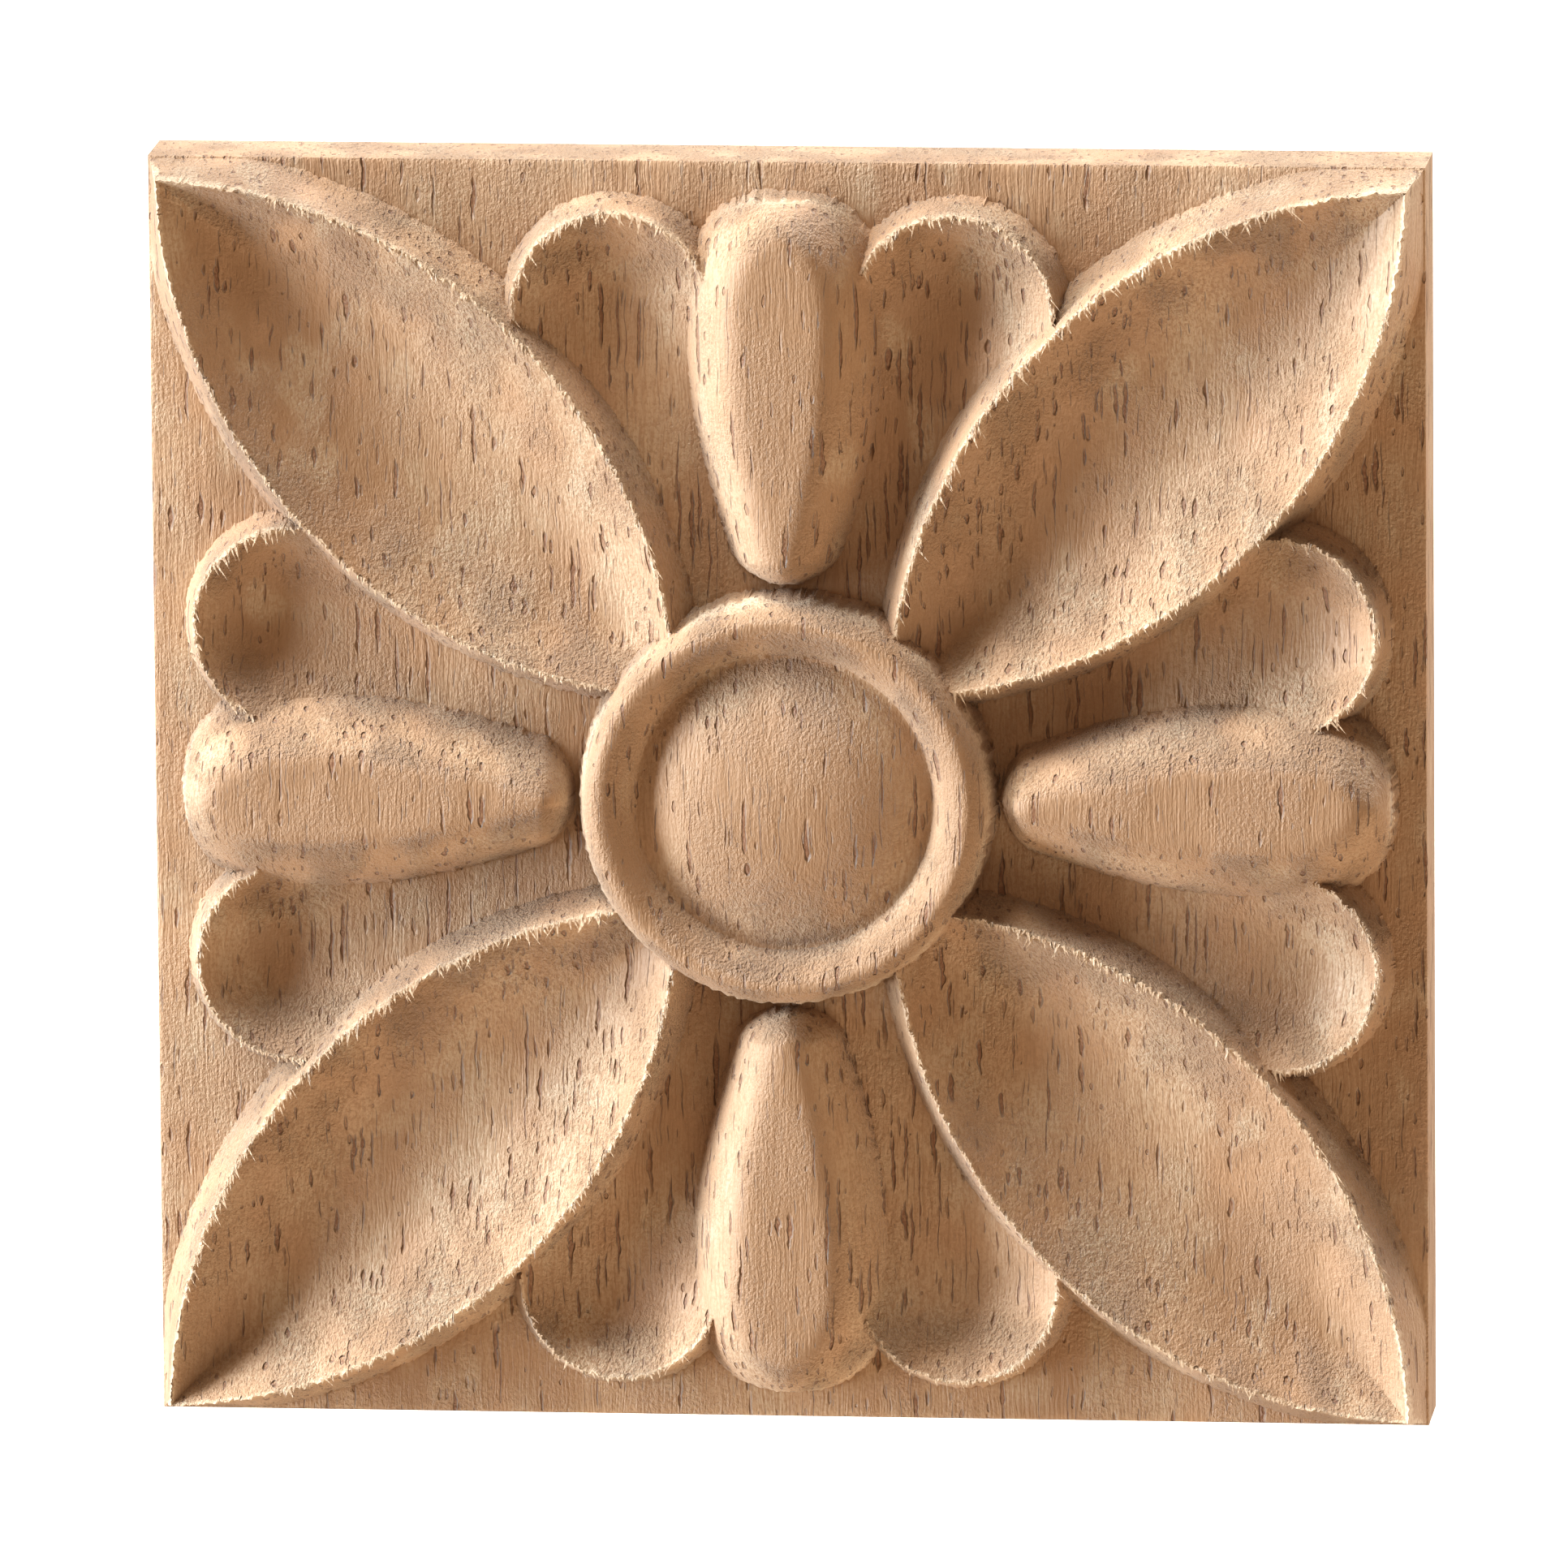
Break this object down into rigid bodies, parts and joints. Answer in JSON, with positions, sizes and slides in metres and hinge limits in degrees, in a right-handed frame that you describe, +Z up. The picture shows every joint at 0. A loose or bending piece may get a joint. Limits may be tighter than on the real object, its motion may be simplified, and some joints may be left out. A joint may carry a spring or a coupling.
{
  "type": "carved wood rosette corner block",
  "caption": "Square carved hardwood block with corner leaves, clubs between hollow lobes, and a ring around a domed button.",
  "frame": {"origin": "centre of the flat back face, which is glued to the wall, casing or furniture", "axes": "+X to the right and +Z up the block along the grain, +Y into what it is fixed to; the carved face looks to -Y"},
  "size_m": [0.08, 0.0115, 0.08],
  "materials": {
    "timber": "bare, unsanded, open-pored pale hardwood with the grain running up the block"
  },
  "bodies": {
    "root": {"carved_rosette_block": "timber"}
  },
  "joints": []
}
